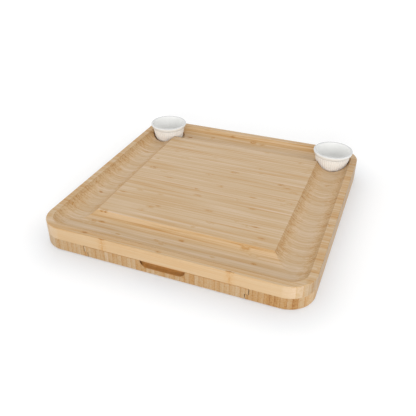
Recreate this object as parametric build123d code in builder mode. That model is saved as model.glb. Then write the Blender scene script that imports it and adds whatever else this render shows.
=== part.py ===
"""Square bamboo serving board with a juice moat, two drawer trays and two dip bowls.

Millimetres, +Z up, the front of the board towards -Y.  The origin is the point on
the table under the middle of the board.
"""

from build123d import *
from math import cos, pi, sin
import os

os.makedirs("parts", exist_ok=True)

# --- Board: the two glued bamboo layers ---------------------------------------
board_width = 370.0  # left to right
board_depth = 370.0  # front to back
corner_radius = 35.0  # plan radius of the four outer corners
top_thickness = 17.5  # upper slab, grain from left to right
base_thickness = 17.2  # lower layer, grain from front to back
outer_edge_round = 1.0  # sanded round on the outer top and bottom edges
inner_edge_round = 0.5  # sanded round along the moat's two edges

# --- Moat: a round-bottomed trough all round a flat square platform -----------
rim_width = 9.6  # flat rim outside the moat
moat_width = 49.4
moat_depth = 11.0
cutter_headroom = 5.0  # how far a cutting shape stands above the surface it cuts

# --- Dip bowls in the two rear corners of the moat ----------------------------
bowl_inset = 4.7  # bowl's axis from the moat's centre line, towards the platform
pocket_clearance = 1.1  # round the bowl's body where it comes out of the pocket
pocket_depth = 13.5  # below the board's top
bowl_height = 28.0
bowl_rim_radius = 31.3  # before its edge is rounded
bowl_rim_width = 3.8
bowl_rim_round = 1.5
band_height = 5.9  # smooth band from the groove to the rim
band_taper = 1.2  # the band is this much narrower at its foot than at the rim
groove_height = 1.2
groove_depth = 1.0
body_top_radius = 28.2  # over the flutes' crests, just under the groove
body_foot_radius = 24.4
flute_count = 45
flute_depth = 0.6
crest_share = 0.35  # of the flutes' pitch
valley_share = 0.25
foot_ring_radius = 22.8
foot_ring_width = 3.4
foot_ring_height = 1.0
foot_bevel_height = 1.8  # bevel between the foot ring and the body
bowl_floor_thickness = 4.0
bowl_inner_foot_radius = 21.6
bowl_floor_round = 6.0

# --- Drawer trays, which hang by their lips on ledges of the rails ------------
tray_body_width = 214.0  # below the lips, between the ledges
tray_lip = 5.0  # how far each lip stands out over its ledge
ledge_height = 7.6  # ledge's top above the layer's underside
side_clearance = 0.8  # each side, tray to rail
top_clearance = 0.5  # tray's top to the upper slab
seat_gap = 0.3  # running gap under the lips and under the bowls
back_clearance = 0.5  # closed tray to the centre rail
centre_rail_depth = 16.0
tray_front_wall = 17.0
tray_back_wall = 9.0
tray_side_wall = 7.0
tray_divider = 8.0
tray_floor = 4.6
knife_well_depth = 60.0  # front to back size of the long well
well_corner_radius = 12.0
well_floor_round = 4.0
notch_width = 62.0
notch_depth = 9.6  # below the layer's top
notch_reach = 13.0  # front to back
notch_back_round = 8.8
tray_hold = 26.5  # length of lip still on the ledges when the tray is drawn out

# --- Magnets that hold the trays shut -----------------------------------------
magnet_radius = 4.0
magnet_thickness = 3.0
magnet_spacing = 140.0  # between the two magnets of a pair
magnet_height = 8.6  # axis above the layer's underside
glue_gap = 0.1

# --- Feet ---------------------------------------------------------------------
foot_radius = 6.0
foot_thickness = 2.4
foot_recess = 1.2  # let into the rails
foot_inset_x = 30.0  # foot's axis from the board's side
foot_inset_y = 30.0  # foot's axis from the board's front and back
foot_edge_bevel = 0.5

# --- Levels and lines worked out from the sizes above -------------------------
base_under = foot_thickness - foot_recess
base_top = base_under + base_thickness
board_top = base_top + top_thickness
ledge_top = base_under + ledge_height
board_front = -board_depth / 2

ledge_half = tray_body_width / 2 + side_clearance
channel_half = ledge_half + tray_lip

moat_line_x = board_width / 2 - rim_width - moat_width / 2
moat_line_y = board_depth / 2 - rim_width - moat_width / 2

bowl_x = moat_line_x - bowl_inset
bowl_y = moat_line_y - bowl_inset
pocket_floor = board_top - pocket_depth
bowl_seat = pocket_floor + seat_gap
groove_foot = bowl_height - band_height - groove_height
body_slope = (body_top_radius - body_foot_radius) / (groove_foot - foot_bevel_height)
body_radius_at_mouth = body_foot_radius + body_slope * (board_top - bowl_seat - foot_bevel_height)
pocket_radius = body_radius_at_mouth + pocket_clearance

tray_top = base_top - top_clearance
tray_back = -centre_rail_depth / 2 - back_clearance
tray_length = tray_back - board_front
magnet_axis = base_under + magnet_height
tray_travel = tray_length - tray_hold
print("tray length", tray_length, "travel", tray_travel)


def finish(piece, name):
    """Label one finished piece and write it to its own file."""
    piece.label = name
    export_step(piece, "parts/" + name + ".step")


# --- Upper slab ---------------------------------------------------------------
# The moat's cutting shape.  Its section is a shallow arc, run straight along the
# four sides and turned about the moat's four corners.  Two runs meet on a mitre,
# so the platform keeps sharp corners while the moat's outer corners are round.
with BuildSketch() as moat_section:
    with BuildLine():
        ThreePointArc((-moat_width / 2, 0), (0, -moat_depth), (moat_width / 2, 0))
        Polyline(
            (moat_width / 2, 0),
            (moat_width / 2, cutter_headroom),
            (-moat_width / 2, cutter_headroom),
            (-moat_width / 2, 0),
        )
    make_face()

with BuildSketch() as moat_half_section:
    add(moat_section.sketch)
    with Locations((-moat_width / 2, 0)):
        Rectangle(moat_width, 4 * moat_depth, mode=Mode.SUBTRACT)

with BuildPart() as moat_cutter:
    for side in (-1, 1):
        run_along_x = Plane(origin=(0, side * moat_line_y, board_top), x_dir=(0, 1, 0), z_dir=(1, 0, 0))
        extrude(run_along_x * moat_section.sketch, amount=moat_line_x, both=True)
        run_along_y = Plane(origin=(side * moat_line_x, 0, board_top), x_dir=(-1, 0, 0), z_dir=(0, 1, 0))
        extrude(run_along_y * moat_section.sketch, amount=moat_line_y, both=True)
    for side_x in (-1, 1):
        for side_y in (-1, 1):
            corner = Plane(
                origin=(side_x * moat_line_x, side_y * moat_line_y, board_top),
                x_dir=(1, 0, 0),
                z_dir=(0, -1, 0),
            )
            corner_axis = Axis(corner.origin, (0, 0, 1))
            revolve(corner * moat_half_section.sketch, axis=corner_axis)

with BuildPart() as top_board:
    with BuildSketch(Plane.XY.offset(base_top)):
        RectangleRounded(board_width, board_depth, corner_radius)
    extrude(amount=top_thickness)
    fillet(top_board.edges().group_by(Axis.Z)[-1], outer_edge_round)
    add(moat_cutter.part, mode=Mode.SUBTRACT)
    # the moat parts the top into the platform and the rim round it
    platform, rim = top_board.faces().group_by(Axis.Z)[-1].sort_by(SortBy.AREA)[::-1]
    moat_edges = platform.outer_wire().edges() + rim.inner_wires()[0].edges()
    fillet(moat_edges, inner_edge_round)
    with Locations((-bowl_x, bowl_y, board_top), (bowl_x, bowl_y, board_top)):
        Hole(pocket_radius, depth=pocket_depth)

finish(top_board.part, "top_board")

# --- Lower layer: two side rails with ledges and a centre rail ----------------
with BuildPart() as base_left_rail:
    with BuildSketch(Plane.XY.offset(base_under)):
        RectangleRounded(board_width, board_depth, corner_radius)
        with Locations((-board_width / 2, 0)):
            Rectangle(board_width - 2 * ledge_half, board_depth, mode=Mode.INTERSECT)
    extrude(amount=ledge_height)
    with BuildSketch(Plane.XY.offset(ledge_top)):
        RectangleRounded(board_width, board_depth, corner_radius)
        with Locations((-board_width / 2, 0)):
            Rectangle(board_width - 2 * channel_half, board_depth, mode=Mode.INTERSECT)
    extrude(amount=base_thickness - ledge_height)
    # every edge of the underside but the inner one is sanded round
    fillet(base_left_rail.edges().group_by(Axis.Z)[0].sort_by(Axis.X)[:-1], outer_edge_round)
    foot_x = board_width / 2 - foot_inset_x
    foot_y = board_depth / 2 - foot_inset_y
    with BuildSketch(Plane.XY.offset(base_under)):
        with Locations((-foot_x, -foot_y), (-foot_x, foot_y)):
            Circle(foot_radius + glue_gap)
    extrude(amount=foot_recess, mode=Mode.SUBTRACT)

with BuildPart() as base_right_rail:
    mirror(base_left_rail.part, about=Plane.YZ)

with BuildPart() as base_centre_rail:
    with BuildSketch(Plane.XY.offset(base_under)):
        Rectangle(2 * ledge_half, centre_rail_depth)
    extrude(amount=ledge_height)
    with BuildSketch(Plane.XY.offset(ledge_top)):
        Rectangle(2 * channel_half, centre_rail_depth)
    extrude(amount=base_thickness - ledge_height)
    for side in (-1, 1):
        rail_face = Plane(
            origin=(0, side * centre_rail_depth / 2, magnet_axis), x_dir=(1, 0, 0), z_dir=(0, side, 0)
        )
        with BuildSketch(rail_face):
            with Locations((-magnet_spacing / 2, 0), (magnet_spacing / 2, 0)):
                Circle(magnet_radius + glue_gap)
        extrude(amount=-magnet_thickness, mode=Mode.SUBTRACT)

finish(base_left_rail.part, "base_left_rail")
finish(base_right_rail.part, "base_right_rail")
finish(base_centre_rail.part, "base_centre_rail")

# --- Drawer trays -------------------------------------------------------------
# Finger notch: a slot with round ends whose far end is round too, as a ball-ended
# cutter leaves it.
with BuildPart() as notch_cutter:
    with BuildSketch(Plane.XZ.offset(-board_front)):
        with Locations((0, base_top)):
            SlotOverall(notch_width, 2 * notch_depth)
    extrude(amount=-notch_reach)
    fillet(notch_cutter.faces().sort_by(Axis.Y)[-1].edges(), notch_back_round)

wells_front = board_front + tray_front_wall
wells_back = tray_back - tray_back_wall
wells_width = tray_body_width - 2 * tray_side_wall
small_well_depth = wells_back - wells_front - knife_well_depth - tray_divider
small_well_width = (wells_width - tray_divider) / 2
well_floor = base_under + tray_floor

with BuildPart() as front_tray:
    with BuildSketch(Plane.XZ.offset(-board_front)):
        with Locations((0, base_under)):
            Rectangle(tray_body_width, tray_top - base_under, align=(Align.CENTER, Align.MIN))
        with Locations((0, ledge_top + seat_gap)):
            Rectangle(tray_body_width + 2 * tray_lip, tray_top - ledge_top - seat_gap, align=(Align.CENTER, Align.MIN))
    extrude(amount=-tray_length)
    front_foot = front_tray.edges().filter_by(Axis.X).group_by(Axis.Z)[0].sort_by(Axis.Y)[0]
    fillet(front_foot, outer_edge_round)
    add(notch_cutter.part, mode=Mode.SUBTRACT)
    with BuildSketch(Plane.XY.offset(tray_top)):
        with Locations((0, wells_front + knife_well_depth / 2)):
            RectangleRounded(wells_width, knife_well_depth, well_corner_radius)
        with Locations((0, wells_back - small_well_depth / 2)):
            with GridLocations(small_well_width + tray_divider, 1, 2, 1):
                RectangleRounded(small_well_width, small_well_depth, well_corner_radius)
    extrude(amount=well_floor - tray_top, mode=Mode.SUBTRACT)
    # the three wells' floors are the first flat level above the underside
    floors = front_tray.faces().filter_by(Axis.Z).group_by(Axis.Z)[1]
    fillet(floors.edges(), well_floor_round)
    with BuildSketch(Plane(origin=(0, tray_back, magnet_axis), x_dir=(1, 0, 0), z_dir=(0, 1, 0))):
        with Locations((-magnet_spacing / 2, 0), (magnet_spacing / 2, 0)):
            Circle(magnet_radius + glue_gap)
    extrude(amount=-magnet_thickness, mode=Mode.SUBTRACT)

with BuildPart() as rear_tray:
    mirror(front_tray.part, about=Plane.XZ)

finish(front_tray.part, "front_tray")
finish(rear_tray.part, "rear_tray")

# --- Dip bowls ----------------------------------------------------------------
bowl_centre = Plane(origin=(bowl_x, bowl_y, bowl_seat))
bowl_section = Plane(origin=bowl_centre.origin, x_dir=(1, 0, 0), z_dir=(0, -1, 0))
bowl_axis = Axis(bowl_centre.origin, (0, 0, 1))


def flute_ring(crest_radius):
    """Points round the fluted body at one level, crest and valley by turns."""
    ring = []
    for flute in range(flute_count):
        valley_start = flute + (1 + crest_share - valley_share) / 2
        for turn, radius in (
            (flute, crest_radius),
            (flute + crest_share, crest_radius),
            (valley_start, crest_radius - flute_depth),
            (valley_start + valley_share, crest_radius - flute_depth),
        ):
            angle = 2 * pi * turn / flute_count
            ring.append((radius * cos(angle), radius * sin(angle)))
    return ring


with BuildPart() as right_bowl:
    # the fluted body widens from the foot bevel to the groove
    for level, crest_radius in ((foot_bevel_height, body_foot_radius), (groove_foot, body_top_radius)):
        with BuildSketch(bowl_centre.offset(level)):
            Polygon(*flute_ring(crest_radius), align=None)
    loft(ruled=True)
    # foot ring, core, groove and band
    with BuildSketch(bowl_section):
        with BuildLine():
            Polyline(
                (0, bowl_height),
                (0, foot_ring_height),
                (foot_ring_radius - foot_ring_width, foot_ring_height),
                (foot_ring_radius - foot_ring_width, 0),
                (foot_ring_radius, 0),
                (body_foot_radius - flute_depth, foot_bevel_height),
                (body_top_radius - flute_depth, groove_foot),
                (body_top_radius - groove_depth, groove_foot + groove_height / 2),
                (bowl_rim_radius - band_taper, groove_foot + groove_height),
            )
            FilletPolyline(
                (bowl_rim_radius - band_taper, groove_foot + groove_height),
                (bowl_rim_radius, bowl_height),
                (0, bowl_height),
                radius=bowl_rim_round,
            )
        make_face()
    revolve(axis=bowl_axis)
    # the hollow, whose mouth is rounded over the rim
    with BuildSketch(bowl_section):
        with BuildLine():
            FilletPolyline(
                (0, bowl_floor_thickness),
                (bowl_inner_foot_radius, bowl_floor_thickness),
                (bowl_rim_radius - bowl_rim_width, bowl_height),
                (bowl_rim_radius, bowl_height),
                radius=[bowl_floor_round, bowl_rim_round],
            )
            Polyline(
                (bowl_rim_radius, bowl_height),
                (bowl_rim_radius, bowl_height + cutter_headroom),
                (0, bowl_height + cutter_headroom),
                (0, bowl_floor_thickness),
            )
        make_face()
    revolve(axis=bowl_axis, mode=Mode.SUBTRACT)

with BuildPart() as left_bowl:
    mirror(right_bowl.part, about=Plane.YZ)

finish(right_bowl.part, "right_bowl")
finish(left_bowl.part, "left_bowl")

# --- Magnets ------------------------------------------------------------------
# One pair in each tray's back and one pair facing it in the centre rail.
magnet_seats = (
    ("front_tray_magnet", tray_back, -1),
    ("front_stop_magnet", -centre_rail_depth / 2, 1),
    ("rear_tray_magnet", -tray_back, 1),
    ("rear_stop_magnet", centre_rail_depth / 2, -1),
)
for seat_name, face_y, inward in magnet_seats:
    for hand, side in (("left", -1), ("right", 1)):
        magnet_plane = Plane(
            origin=(side * magnet_spacing / 2, face_y, magnet_axis), x_dir=(1, 0, 0), z_dir=(0, inward, 0)
        )
        with BuildPart() as magnet:
            with BuildSketch(magnet_plane):
                Circle(magnet_radius)
            extrude(amount=magnet_thickness)
        finish(magnet.part, seat_name + "_" + hand)

# --- Feet ---------------------------------------------------------------------
for row_name, row in (("front", -1), ("rear", 1)):
    for hand, side in (("left", -1), ("right", 1)):
        with BuildPart() as foot:
            with BuildSketch():
                with Locations((side * foot_x, row * foot_y)):
                    Circle(foot_radius)
            extrude(amount=foot_thickness)
            chamfer(foot.edges().sort_by(Axis.Z)[0], foot_edge_bevel)
        finish(foot.part, "foot_" + row_name + "_" + hand)
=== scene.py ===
"""Looks of a square bamboo serving board with a moat, two drawer trays and two dip bowls."""

import math
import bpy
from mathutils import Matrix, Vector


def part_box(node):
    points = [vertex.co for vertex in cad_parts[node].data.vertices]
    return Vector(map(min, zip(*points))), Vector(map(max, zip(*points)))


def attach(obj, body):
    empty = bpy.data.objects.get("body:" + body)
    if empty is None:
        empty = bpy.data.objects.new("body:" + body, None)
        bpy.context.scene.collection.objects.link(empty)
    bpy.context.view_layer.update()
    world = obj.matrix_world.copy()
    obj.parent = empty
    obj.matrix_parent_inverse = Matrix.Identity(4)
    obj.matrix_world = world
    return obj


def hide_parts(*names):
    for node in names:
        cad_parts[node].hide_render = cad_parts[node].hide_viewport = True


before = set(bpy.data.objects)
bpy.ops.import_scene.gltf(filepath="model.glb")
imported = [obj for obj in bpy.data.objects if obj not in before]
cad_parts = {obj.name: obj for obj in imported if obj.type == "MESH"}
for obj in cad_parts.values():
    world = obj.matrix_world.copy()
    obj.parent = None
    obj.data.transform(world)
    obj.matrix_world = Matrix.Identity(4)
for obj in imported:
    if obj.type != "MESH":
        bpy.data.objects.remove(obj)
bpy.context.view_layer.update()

from types import SimpleNamespace

import bpy
from bpy.props import FloatProperty, FloatVectorProperty, IntProperty, PointerProperty
from mathutils import Vector

bl_info = {
    "name": "Bamboo serving board with drawer trays",
    "version": (1, 0, 0),
    "blender": (4, 5, 0),
    "location": "View3D > Sidebar > Serving board",
    "description": "Finishes the serving board, its drawer trays and its dip bowls, and sets up the studio",
    "category": "Object",
}

MM = 0.001
PER_METRE = 1000.0
WHITE = (1.0, 1.0, 1.0, 1.0)

BOARD_LOW, BOARD_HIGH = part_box("top_board")
BOWL_LOW, BOWL_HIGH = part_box("right_bowl")
TRAY_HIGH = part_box("front_tray")[1]
CORNER_RADIUS = 35 * MM

# tone of plain bamboo, on a scale from pale at 0 to brown at 1
LEAST_TONE = 0.19
# place of each wooden piece in the endless pattern of strips, and how much darker the piece is
SEED_AND_SHADE = {
    "top_board": (11.3, 0.0),
    "base_left_rail": (71.6, 0.12),
    "base_right_rail": (33.9, 0.26),
    "base_centre_rail": (52.3, 0.1),
    "front_tray": (131.2, 0.12),
    "rear_tray": (177.9, 0.12),
}
# how far the pattern differs between strips, in spacings of the nodes and cells of the stretches and streaks
NODE_SCATTER = 7.0
LANE_STEP = 3.7
STRIP_SHIFT = 400.0
# how far fibres bend round a node, in widths of a fibre
NODE_BEND = 1.1
# the dots of end grain are the ends of long bundles, so along the grain they change this much more slowly
BUNDLE_RUN = 0.03

# points round the bowl for each flute, and a power that over 1 makes the crests broader than the valleys
POINTS_PER_FLUTE = 8
CREST_BREADTH = 1.4

WOOD_IOR = 1.45
WOOD_SPECULAR = 0.38
GLAZE_IOR = 1.52
SILICONE_IOR = 1.41

# lamps: name, setting with the power, azimuth and elevation in degrees, side in metres
LAMP_DISTANCE = 1.8
LAMPS = (
    ("front_lamp", "front_power", 14, 8, 1.0),
    ("side_lamp", "side_power", 75, 30, 1.2),
    ("left_lamp", "left_power", -90, 25, 1.2),
    ("back_lamp", "back_power", -150, 40, 1.4),
)
# under the board, the floor lets rays of light pass that are shorter than this
UNDERSIDE_LIGHT = 10 * MM

# marks on the upper slab, in millimetres: place along X and Y, length and strength
MARK_WIDTH = 4.0
# nodes that catch the eye
NODE_MARKS = (
    (63, -18, 14, 0.9), (-72, -10, 20, 0.7), (-116, 40, 10, 0.8), (-98, 75, 10, 0.6), (103, 25, 16, 0.7),
    (18, -73, 18, 0.8), (-52, -88, 9, 0.8), (89, -87, 14, 0.9), (103, -108, 12, 0.9), (-62, -59, 12, 0.7),
    (71, -47, 14, 0.7), (54, 53, 9, 0.6), (-116, -72, 14, 0.8), (6, -139, 9, 1.1), (-112, -139, 12, 0.9),
    (-79, -154, 8, 1.0), (-112, -179, 9, 0.9), (-6, -181, 9, 0.8), (-108, 153, 12, 1.8), (-156, -70, 6, 1.8),
    (-33, 171, 10, 0.8), (23, 165, 14, 0.9), (-26, -147, 8, 0.6), (54, -153, 8, 0.8), (106, -147, 8, 0.7),
)
# long golden stretches of the strips in front
GOLDEN_STRETCHES = (
    (30, -98, 260, 0.26), (-10, -109, 300, 0.30), (40, -119, 280, 0.34), (-20, -7, 220, 0.18),
    (10, -131, 270, 0.14), (-40, -136, 200, 0.12),
)


def linear(hex_colour):
    """An sRGB hex colour as linear red, green, blue and alpha."""
    channels = [int(hex_colour[i : i + 2], 16) / 255 for i in (1, 3, 5)]
    return tuple(c / 12.92 if c <= 0.04045 else ((c + 0.055) / 1.055) ** 2.4 for c in channels) + (1.0,)


def length(name, description, default):
    """The usual arguments of a size in metres."""
    return dict(name=name, description=description, default=default, min=0.0, unit="LENGTH",
                subtype="DISTANCE")


def tint(name, description, default):
    """The usual arguments of a colour."""
    return dict(name=name, description=description, default=linear(default), size=4, min=0.0, max=1.0,
                subtype="COLOR")


def share(name, description, default):
    """The usual arguments of a share from 0 to 1."""
    return dict(name=name, description=description, default=default, min=0.0, max=1.0, subtype="FACTOR")


def power(name, description, default):
    """The usual arguments of a lamp's power in watts."""
    return dict(name=name, description=description, default=default, min=0.0, unit="POWER")


class BambooFinish(bpy.types.PropertyGroup):
    """Side-pressed bamboo, planed, sanded and oiled."""

    strip_width: FloatProperty(**length("Strip width", "Thickness of one glued strip", 5.2 * MM))
    base_strip_width: FloatProperty(**length("Base strip width", "The same in the lower layer", 6.6 * MM))
    strip_unevenness: FloatProperty(**share("Strip unevenness", "How far the strips differ in width", 0.45))
    node_spacing: FloatProperty(**length("Node spacing", "Distance between two nodes of one strip", 310 * MM))
    node_length: FloatProperty(**length("Node length", "Length of a node mark along the grain", 9 * MM))
    streak_width: FloatProperty(**length("Streak width", "Width of a dark or light streak", 2.2 * MM))
    streak_length: FloatProperty(**length("Streak length", "Length of a dark or light streak", 170 * MM))
    stretch_length: FloatProperty(**length("Stretch length", "Length of a golden stretch", 130 * MM))
    fibre_width: FloatProperty(**length("Fibre width", "Width of a bundle of fibres", 0.6 * MM))
    fibre_length: FloatProperty(**length("Fibre length", "Length of a bundle of fibres", 60 * MM))
    bundle_spacing: FloatProperty(**length("Bundle spacing", "Distance of the dots in end grain", 0.9 * MM))
    glue_width: FloatProperty(**length("Glue line", "Width of the line between two strips", 0.5 * MM))
    freckle_length: FloatProperty(**length("Freckle length", "Length of a freckle in a node", 10 / 3 * MM))
    freckle_width: FloatProperty(**length("Freckle width", "Width of a freckle in a node", 1.25 * MM))
    relief: FloatProperty(**length("Relief", "Height of the fibres that sanding left", 0.03 * MM))
    rim_width: FloatProperty(**length("Rim width", "Width of the oiled rim round the moat", 10 * MM))
    front_node: FloatProperty(**length("Front node", "Place of a node on the front strip", 88 * MM))
    front_node_spacing: FloatProperty(**length("Front node spacing", "Distance to the next one", 172 * MM))
    pale: FloatVectorProperty(**tint("Pale", "Inner side of a strip", "#D2B99D"))
    straw: FloatVectorProperty(**tint("Straw", "Middle of a strip", "#C6AA85"))
    golden: FloatVectorProperty(**tint("Golden", "Streaks, golden stretches and glue lines", "#BE925B"))
    brown: FloatVectorProperty(**tint("Brown", "Nodes and the dots of end grain", "#96602A"))
    gold_filter: FloatVectorProperty(**tint("Gold", "What a cut slope adds to the colour", "#F6E4B8"))
    slope_gold: FloatProperty(**share("Slope gold", "How golden a cut slope is", 0.5))
    end_soak: FloatProperty(**share("End soak", "How much darker the oil makes the ends", 0.19))
    # toast: the cutter's scorch in the finger notch, partly painted shade; also painted shade on the tray
    # front's upper edge
    toast_and_shade: FloatVectorProperty(**tint("Toast", "Wood scorched by the cutter or the saw", "#C08A4B"))
    # the pockets' walls: partly the cut wood's colour, partly painted light that lifts the shade round each
    # bowl
    pocket_wall_and_light: FloatVectorProperty(**tint("Fresh cut", "Walls of the bowls' pockets, not yet bleached",
                                          "#DDA55E"))
    # painted shade in the drawer gaps: its near-black colour and how far in from the ends it reaches
    painted_gap_shade: FloatVectorProperty(**tint("Burnt", "Wood burnt where the saw started", "#54290D"))
    gap_shade_reach: FloatProperty(**length("Burnt reach", "How far the saw burnt the drawer gaps", 2.5 * MM))
    roughness: FloatProperty(**share("Roughness", "Roughness of the oiled face", 0.46))
    roughness_spread: FloatProperty(**share("Roughness spread", "How far the fibres change it", 0.14))
    notch_width: FloatProperty(**length("Notch width", "Width of the finger notch", 62 * MM))
    notch_depth: FloatProperty(**length("Notch depth", "Depth of the finger notch", 9.6 * MM))
    notch_reach: FloatProperty(**length("Notch reach", "How far the finger notch goes in", 13 * MM))


class BowlFinish(bpy.types.PropertyGroup):
    """White glazed stoneware, cast with flutes."""

    flute_count: IntProperty(name="Flutes", description="Flutes round the body", default=45, min=3)
    flute_depth: FloatProperty(**length("Flute depth", "Depth of the flutes", 0.6 * MM))
    band_height: FloatProperty(**length("Band height", "Height of the smooth band under the lip", 5.9 * MM))
    band_taper: FloatProperty(**length("Band taper", "How far the band draws in downwards", 1.2 * MM))
    groove_height: FloatProperty(**length("Groove height", "Height of the groove under the band", 1.2 * MM))
    groove_depth: FloatProperty(**length("Groove depth", "Depth of the groove", 1.0 * MM))
    wall: FloatProperty(**length("Lip width", "Width of the lip", 3.8 * MM))
    lip_round: FloatProperty(**length("Lip round", "Radius of the lip's edges", 1.5 * MM))
    body_top_radius: FloatProperty(**length("Body top radius", "Radius under the groove", 28.2 * MM))
    body_foot_radius: FloatProperty(**length("Body foot radius", "Radius at the foot", 24.4 * MM))
    foot_radius: FloatProperty(**length("Foot radius", "Outer radius of the foot ring", 22.8 * MM))
    foot_width: FloatProperty(**length("Foot width", "Width of the foot ring", 3.4 * MM))
    foot_height: FloatProperty(**length("Foot height", "Height of the hollow under the bowl", 1.0 * MM))
    foot_bevel: FloatProperty(**length("Foot bevel", "Height of the slope over the foot ring", 1.8 * MM))
    floor: FloatProperty(**length("Floor", "Thickness of the floor", 4.0 * MM))
    inner_foot_radius: FloatProperty(**length("Inner foot radius", "Inner radius at the floor", 21.6 * MM))
    inner_round: FloatProperty(**length("Inner round", "Radius between the inner wall and floor", 6.0 * MM))
    glaze_inside: FloatVectorProperty(**tint("Glaze inside", "Glaze of the inside", "#EEEEEC"))
    glaze_outside: FloatVectorProperty(**tint("Glaze outside", "Glaze of the outside", "#EAECEB"))
    # painted light: the fluted body is glazed whiter than the band, to lift it from its shade
    body_painted_light: FloatVectorProperty(**tint("Glaze body", "Thicker glaze of the fluted body", "#F6F6F4"))
    # the lip: partly thin glaze, partly painted shade on the level face that looks up
    lip_glaze_and_shade: FloatVectorProperty(**tint("Glaze lip", "Thin glaze of the lip", "#D8D9D8"))
    # grey of the flutes and the groove: partly pooled glaze, partly painted shade in those hollows
    glaze_pool_and_shade: FloatVectorProperty(**tint("Glaze pool", "Glaze pooled in the flutes and the groove",
                                           "#C3C0BB"))
    flute_pool_and_shade: FloatProperty(**share("Flute pool", "How much glaze pools in the flutes", 0.15))
    unevenness: FloatProperty(**share("Unevenness", "How much glaze pools in clouds", 0.12))
    cloud_size: FloatProperty(**length("Cloud size", "Size of the clouds in the glaze", 11.1 * MM))
    wave_size: FloatProperty(**length("Wave size", "Length of a wave in the glaze", 4.55 * MM))
    wave_depth: FloatProperty(**length("Wave depth", "Depth of the waves in the glaze", 0.12 * MM))
    clay: FloatVectorProperty(**tint("Clay", "Bare clay of the foot ring", "#D9CDBB"))
    roughness: FloatProperty(**share("Roughness", "Roughness of the glaze", 0.12))
    clay_roughness: FloatProperty(**share("Clay roughness", "Roughness of the bare clay", 0.75))


class HardwareFinish(bpy.types.PropertyGroup):
    """Nickel-plated magnets and silicone feet."""

    nickel: FloatVectorProperty(**tint("Nickel", "Nickel plate", "#C9C4BA"))
    nickel_roughness: FloatProperty(**share("Nickel roughness", "Roughness of the plate", 0.24))
    nickel_spread: FloatProperty(**share("Nickel spread", "How far the dents change it", 0.16))
    dent_size: FloatProperty(**length("Dent size", "Size of a dent in the plate", 0.625 * MM))
    dent_depth: FloatProperty(**length("Dent depth", "Depth of a dent in the plate", 0.02 * MM))
    silicone: FloatVectorProperty(**tint("Silicone", "Silicone rubber", "#8C8A86"))
    silicone_dusty: FloatVectorProperty(**tint("Dusty silicone", "Silicone rubber under dust", "#A3A19C"))
    silicone_roughness: FloatProperty(**share("Silicone roughness", "Roughness of the rubber", 0.55))
    silicone_spread: FloatProperty(**share("Silicone spread", "How far the mould's grain changes it", 0.12))
    grain_size: FloatProperty(**length("Grain size", "Size of the mould's grain", 1 / 3 * MM))
    grain_depth: FloatProperty(**length("Grain depth", "Depth of the mould's grain", 0.03 * MM))
    dust_size: FloatProperty(**length("Dust size", "Size of a patch of dust", 2.5 * MM))


class StudioSettings(bpy.types.PropertyGroup):
    """Pale floor, soft lights and the camera."""

    floor: FloatVectorProperty(**tint("Floor", "Colour of the floor", "#E1E1E1"))
    glow: FloatVectorProperty(**tint("Glow", "Glow of the floor, which lights nothing", "#939393"))
    # painted shadow round the board: a dimmer glow, how far it reaches and how much less far at the sides
    painted_shadow_glow: FloatVectorProperty(**tint("Glow beside", "Weaker glow beside the board", "#717A83"))
    painted_shadow_width: FloatProperty(**length("Dip width", "How far round the board the glow is weaker", 74 * MM))
    painted_shadow_narrowing: FloatProperty(**length("Side shift", "How much narrower that is at the sides", 16 * MM))
    white_from: FloatProperty(**length("White from", "How far from the board the glow turns white", 0.4))
    floor_size: FloatProperty(**length("Floor size", "Side of the floor", 6.0))
    sky: FloatProperty(name="Sky", description="Strength of the even light from all round", default=0.74,
                       min=0.0)
    front_power: FloatProperty(**power("Front lamp", "Power of the low lamp in front", 21.5))
    side_power: FloatProperty(**power("Side lamp", "Power of the lamp on the right", 4.0))
    left_power: FloatProperty(**power("Left lamp", "Power of the lamp on the left", 2.6))
    back_power: FloatProperty(**power("Back lamp", "Power of the lamp behind", 4.8))
    azimuth: FloatProperty(name="Azimuth", description="Angle of the camera round the board",
                           default=math.radians(21.74), subtype="ANGLE")
    elevation: FloatProperty(name="Elevation", description="Angle of the camera over the floor",
                             default=math.radians(33.05), subtype="ANGLE")
    distance: FloatProperty(**length("Distance", "From the camera to the point it looks at", 0.7739))
    target: FloatVectorProperty(name="Target", description="Point that the camera looks at",
                                default=(-5.48 * MM, -17.46 * MM, 1.2 * MM), subtype="XYZ", unit="LENGTH")
    sensor: FloatProperty(name="Sensor", description="Width of the sensor in millimetres", default=36.0,
                          min=1.0)
    lens: FloatProperty(name="Lens", description="Focal length in millimetres", default=44.54, min=1.0)


def live(sockets, key):
    """The socket in use that has this place in the list, or this name."""
    shown = [socket for socket in sockets if socket.enabled]
    return shown[key] if isinstance(key, int) else next(socket for socket in shown if socket.name == key)


def add(tree, kind, inputs=None, **settings):
    """Adds a node, sets its fields and inputs, and links each input that is given as a node or a socket."""
    node = tree.nodes.new(kind)
    for field, value in settings.items():
        setattr(node, field, value)
    for key, value in (inputs or {}).items():
        if isinstance(value, bpy.types.Node):
            value = live(value.outputs, 0)
        if isinstance(value, bpy.types.NodeSocket):
            tree.links.new(value, live(node.inputs, key))
        else:
            live(node.inputs, key).default_value = value
    return node


def new_material(name):
    """An empty material with a surface shader: the material, its tree and the shader."""
    material = bpy.data.materials.new(name)
    material.use_nodes = True
    tree = material.node_tree
    tree.nodes.clear()
    shader = add(tree, "ShaderNodeBsdfPrincipled")
    add(tree, "ShaderNodeOutputMaterial", {"Surface": shader})
    return material, tree, shader


def dress(node_name, material):
    """Gives a part from model.glb its material."""
    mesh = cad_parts[node_name].data
    mesh.materials.clear()
    mesh.materials.append(material)


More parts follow.
